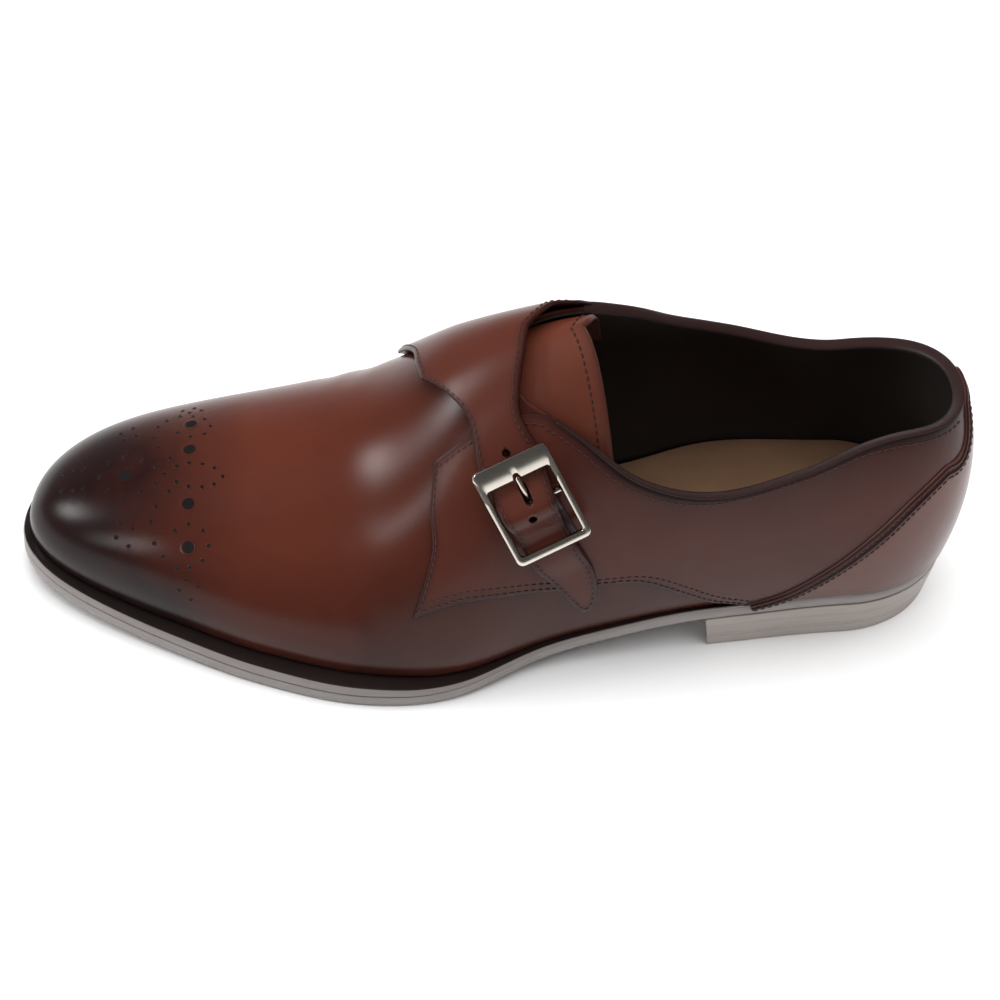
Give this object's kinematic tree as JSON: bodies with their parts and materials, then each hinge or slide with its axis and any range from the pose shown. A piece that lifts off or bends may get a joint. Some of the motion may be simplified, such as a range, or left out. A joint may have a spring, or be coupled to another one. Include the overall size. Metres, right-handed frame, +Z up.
{
  "type": "monk strap shoe",
  "caption": "Left leather monk strap shoe: round medallion toe, buckled strap over the instep, tongue, welted leather sole and low stacked heel.",
  "frame": {"origin": "on the floor, under the middle of the bounding box of the shoe", "axes": "+X towards the heel (the toe points to -X), -Y the buckled outer (lateral) side, +Y the inner (medial) side, +Z up"},
  "size_m": [0.3028, 0.1084, 0.1121],
  "materials": {
    "vamp": "polished calf, reddish brown with dark burnished toe",
    "quarter": "polished calf, burgundy",
    "tongue": "tan calf, satin",
    "sole": "dressed sole leather, grey brown",
    "welt": "waxed black, wheeled",
    "insole": "natural leather",
    "heel": "stacked leather, grey brown",
    "heel_lift": "matt",
    "nickel": "polished nickel plate",
    "chape": "dark brown calf"
  },
  "bodies": {
    "root": {"upper": "vamp", "counter": "quarter", "lateral_quarter": "quarter", "medial_quarter_strap": "quarter", "tongue": "tongue", "outsole": "sole", "welt": "welt", "insole": "insole", "heel_block": "heel", "heel_lift": "heel_lift", "buckle_frame": "nickel", "buckle_prong": "nickel", "chape": "chape"}
  },
  "joints": []
}
